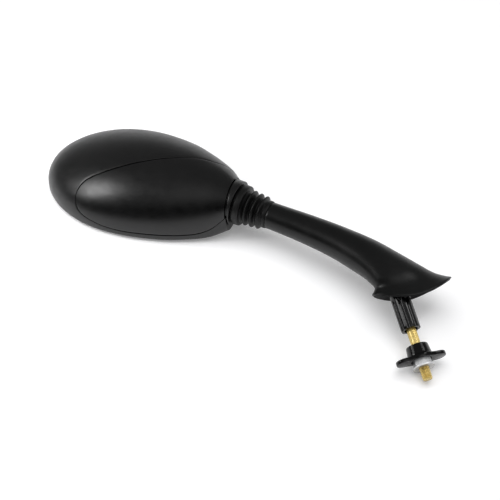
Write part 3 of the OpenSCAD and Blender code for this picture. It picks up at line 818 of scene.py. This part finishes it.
def thread(r, ang, z):
    """M8 thread: a helix between two radii, run in at its start and tapered at the tip."""
    t = (z / LEAD - ang / 360) % 1
    ridge = 1 - abs(2 * t - 1)
    full = MINOR + (MAJOR - MINOR) * clamp((ridge - 0.12) / 0.72)
    tip = clamp((STUD_L - z) / 1.4)
    return min(r, mix(3.3, full, min(1, tip + 0.35)), mix(SHAFT - 0.4, 9, clamp(z - THREAD_AT)))


def make_stud():
    rows = [(5.0, STUD_IN), (5.0, SLEEVE_IN)]
    rows += [(SHAFT, z) for z in [SLEEVE_IN, 5, 19.6, 20.2] + span(22, WASHER_AT - 4.4, 12)]
    rows += [(SHAFT, THREAD_AT)]
    rod = lathe("stud_rod", on_stud, rows, 240, hoop=False, fun=spline, sharp=25)
    rows = [(4.0, z) for z in span(WASHER_AT - 3.98, STUD_L - 0.25, 190)]
    rows += [(2.9, STUD_L - 0.02)]
    end = lathe("stud_thread", on_stud, rows, 72, hoop=False, fun=thread, sharp=60)
    for o in (rod, end):
        dress(o, M_STUD, "arm", "plated_steel", "stud")


EAR_R = 6.5                                         # the ears' round ends
EAR_SIDE = (8.6, 5.4), (6.3, EAR_SPAN / 2 - 8)      # straight side, from the hub to the end


def ear_outline(n):
    """Radius round the washer: a disc with two ears, its corners eased."""
    (x0, y0), (x1, y1) = EAR_SIDE
    c = EAR_SPAN / 2 - EAR_R
    raw = []
    for a in angles(n):
        dx, dy = abs(cosd(a)), abs(sind(a))
        best = HUB_D / 2
        inside = EAR_R ** 2 - c * c * (1 - dy * dy)
        if inside > 0:                      # the ear's round end
            best = max(best, c * dy + math.sqrt(inside))
        den = dx * (y1 - y0) - dy * (x1 - x0)
        if abs(den) > 1e-9:                 # its straight side
            s = (x0 * (y1 - y0) - y0 * (x1 - x0)) / den
            if s > 0 and y0 - 0.01 <= s * dy <= y1 + 0.01:
                best = max(best, s)
        raw.append(best)
    for _ in range(3):
        raw = [(raw[j - 2] + raw[j - 1] * 2 + raw[j] * 2 + raw[(j + 1) % n] * 2
                + raw[(j + 2) % n]) / 8 for j in range(n)]
    return raw


def make_washer():
    n = 288
    ear = ear_outline(n)
    hub = HUB_D / 2
    start = WASHER_AT - HUB_L
    ears = WASHER_AT - EAR_T
    # rows of (radius, place, share of the way out to the ears' outline, step from that outline)
    rows = [(BORE, start + 0.4, 0, 0), (4.4, start, 0, 0), (hub - 1.9, start, 0, 0),
            (hub - 1.55, start + 0.12, 0, 0), (hub - 1.45, start + 0.5, 0, 0)]
    rows += [(mix(hub - 1.42, hub - 0.55, t), mix(start + 0.9, ears - 0.6, t), 0, 0)
             for t in span(0, 1, 8)]
    rows += [(hub - 0.4, ears - 0.25, 0, 0), (0, ears, 0.1, 0)]
    rows += [(0, z, k, step) for z, k, step in (
        (ears, 0.5, -0.45), (ears, 1.0, -0.45), (ears + 0.13, 1, -0.13), (ears + 0.45, 1, 0),
        (WASHER_AT - 0.45, 1, 0), (WASHER_AT - 0.13, 1, -0.13), (WASHER_AT, 1, -0.45))]
    rows += [(r, WASHER_AT + z, 0, 0) for r, z in (
        (8.3, 0), (8.0, -0.3), (8.0, -NUT_SINK), (4.3, -NUT_SINK), (BORE, -NUT_SINK - 0.2))]
    rings = [[on_stud(mix(hub - 0.1, ear[j] + step, k) if k else r, a, z)
              for j, a in enumerate(angles(n))] for r, z, k, step in rows]
    dress(loft("wing_washer", rings, hoop=True, sharp=34), M_WASHER, "washer", "washer_plastic",
          "ear_washer")


def hexa(ang):
    """Radius of the nut's hexagon, 13 mm across its flats."""
    return 7.5 * cosd(30) / cosd(ang % 60 - 30)


def make_nut():
    cap = 7.46                              # takes the tips off the hexagon's corners
    # rows of (place, largest radius of the hexagon, least radius); equal ones make a circle
    rows = [(NUT_IN + z, r, least) for z, r, least in (
        (0.35, BORE, BORE), (0, 4.45, 4.45), (0, 6.2, 6.2), (0.12, 6.5, 0), (0.35, 6.9, 0),
        (0.62, 7.2, 0), (0.95, 7.42, 0))]
    rows += [(z, cap, 0) for z in span(NUT_IN + 1.4, NUT_OUT - 3.5, 5)]
    rows += [(mix(NUT_OUT - 3.4, NUT_OUT - 1.6, t), cap, mix(6.9, 8.45, t ** 0.8))
             for t in span(0, 1, 5)]
    rows += [(NUT_OUT - z, r, r) for z, r in (
        (1.45, 8.75), (1.2, 8.9), (0.8, 8.95), (0.4, 8.95), (0.12, 8.85), (0, 8.6), (0, 4.7),
        (0.5, BORE))]
    rings = [[on_stud(max(min(hexa(a), r), least), a, z) for a in angles(180)]
             for z, r, least in rows]
    dress(loft("lock_nut", rings, hoop=True, sharp=24), M_NUT, "nut", "nut_steel", "flange_nut")


make_sleeve()
make_stud()
make_washer()
make_nut()

# ---------------------------------------------------------------- CAD pieces that stay
for node, mat in (("foam_pad", M_FOAM), ("holder_screws", M_SCREW), ("socket_body", M_ALLOY),
                  ("socket_screws", M_SCREW), ("clamp_cap", M_ALLOY),
                  ("disc_springs", M_SPRING), ("pressure_pad", M_ZINC),
                  ("cup_front", M_ACETAL), ("cup_back", M_ACETAL), ("ball_rod", M_ROD)):
    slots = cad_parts[node].data.materials
    if not slots:
        slots.append(mat)
    for i in range(len(slots)):
        slots[i] = mat


# ---------------------------------------------------------------- floor
def floor_material():
    """White to camera, glossy and transmission rays; greyer to diffuse ones, which light the
    object from below."""
    m, t, out = blank_material("floor_white")
    pale = t.nodes.new("ShaderNodeBsdfDiffuse")
    pale.inputs["Color"].default_value = (0.86, 0.86, 0.87, 1)
    dim = t.nodes.new("ShaderNodeBsdfDiffuse")
    dim.inputs["Color"].default_value = (0.20, 0.20, 0.205, 1)
    glow = t.nodes.new("ShaderNodeEmission")
    glow.inputs["Color"].default_value = (1, 1, 1, 1)
    glow.inputs["Strength"].default_value = 0.2
    white = t.nodes.new("ShaderNodeAddShader")
    t.links.new(pale.outputs[0], white.inputs[0])
    t.links.new(glow.outputs[0], white.inputs[1])
    ray = t.nodes.new("ShaderNodeLightPath")
    seen = t.nodes.new("ShaderNodeMixShader")
    white_for = ray.outputs["Is Camera Ray"]
    for kind in ("Is Glossy Ray", "Is Transmission Ray"):
        white_for = maths(t, "MAXIMUM", white_for, ray.outputs[kind])
    t.links.new(white_for, seen.inputs[0])
    t.links.new(dim.outputs[0], seen.inputs[1])
    t.links.new(white.outputs[0], seen.inputs[2])
    t.links.new(seen.outputs[0], out.inputs["Surface"])
    return m


def make_floor(half=4):
    mesh = bpy.data.meshes.new("floor")
    mesh.from_pydata([(x, y, FLOOR) for x, y in ((-half, -half), (half, -half), (half, half),
                                                 (-half, half))], [], [(0, 1, 2, 3)])
    mesh.materials.append(floor_material())
    floor = bpy.data.objects.new("floor", mesh)
    scene.collection.objects.link(floor)


make_floor()


# ---------------------------------------------------------------- world
def ramp(t, value, start, end, lo, hi):
    """Strength that goes smoothly from lo to hi as value goes from start to end."""
    n = map_range(t, value, start, end, lo, hi)
    n.interpolation_type = "SMOOTHSTEP"
    return n.outputs["Result"]


def make_world():
    """A dark room in front and a lighter one behind, under a pale ceiling with a brighter patch
    to the front right, and a low glow at the back."""
    world = bpy.data.worlds.new("studio")
    world.use_nodes = True
    scene.world = world
    t = world.node_tree
    toward = t.nodes.new("ShaderNodeTexCoord").outputs["Generated"]
    axes = t.nodes.new("ShaderNodeSeparateXYZ")
    t.links.new(toward, axes.inputs[0])
    y, z = axes.outputs["Y"], axes.outputs["Z"]
    room = ramp(t, y, -0.75, 0.35, 0.01, 0.19)
    above = ramp(t, z, 0.45, 0.9, 0.0, 1.0)
    glow = maths(t, "MULTIPLY", ramp(t, y, 0.45, 0.95, 0.0, 1.2), ramp(t, z, 0.0, 0.28, 1.0, 0.0))
    walls = maths(t, "MULTIPLY", room, maths(t, "SUBTRACT", 1.0, above))
    lit = maths(t, "ADD", walls, maths(t, "MULTIPLY", above, 0.24))
    near = t.nodes.new("ShaderNodeVectorMath")
    near.operation = "DOT_PRODUCT"
    near.inputs[1].default_value = (0.37, -0.29, 0.88)
    t.links.new(toward, near.inputs[0])
    patch = ramp(t, near.outputs["Value"], 0.80, 0.99, 0.0, 0.85)
    strength = maths(t, "ADD", maths(t, "ADD", lit, glow), patch)
    background = t.nodes["Background"]
    background.inputs["Color"].default_value = (1, 1, 1, 1)
    t.links.new(strength, background.inputs["Strength"])


make_world()

# ---------------------------------------------------------------- lamps
STUD_MID = (0.024, -0.036, -0.012)          # a point 45 mm along the stud


def area(name, place, aim, size, watts):
    lamp = bpy.data.lights.new(name, "AREA")
    lamp.shape = "RECTANGLE"
    lamp.size, lamp.size_y = size
    lamp.energy = watts
    o = bpy.data.objects.new(name, lamp)
    scene.collection.objects.link(o)
    o.location = place
    o.rotation_euler = (Vector(aim) - Vector(place)).to_track_quat("-Z", "Y").to_euler()
    return o


# a close softbox by the head, two strips aimed at the stud, and a wide fill that doesn't reflect
area("softbox_left", (-0.424, -0.036, 0.174), (-0.23, 0.06, 0.0), (0.11, 0.11), 0.33)
area("strip_left", (-0.73, -0.24, 0.41), STUD_MID, (0.12, 0.30), 0.75)
area("strip_right", (0.162, 0.142, 0.318), STUD_MID, (0.05, 0.14), 0.15)
fill = area("fill_above", (-0.13, 0.15, 1.2), (-0.08, 0.0, 0.0), (1.35, 1.35), 12.0)
fill.visible_glossy = False
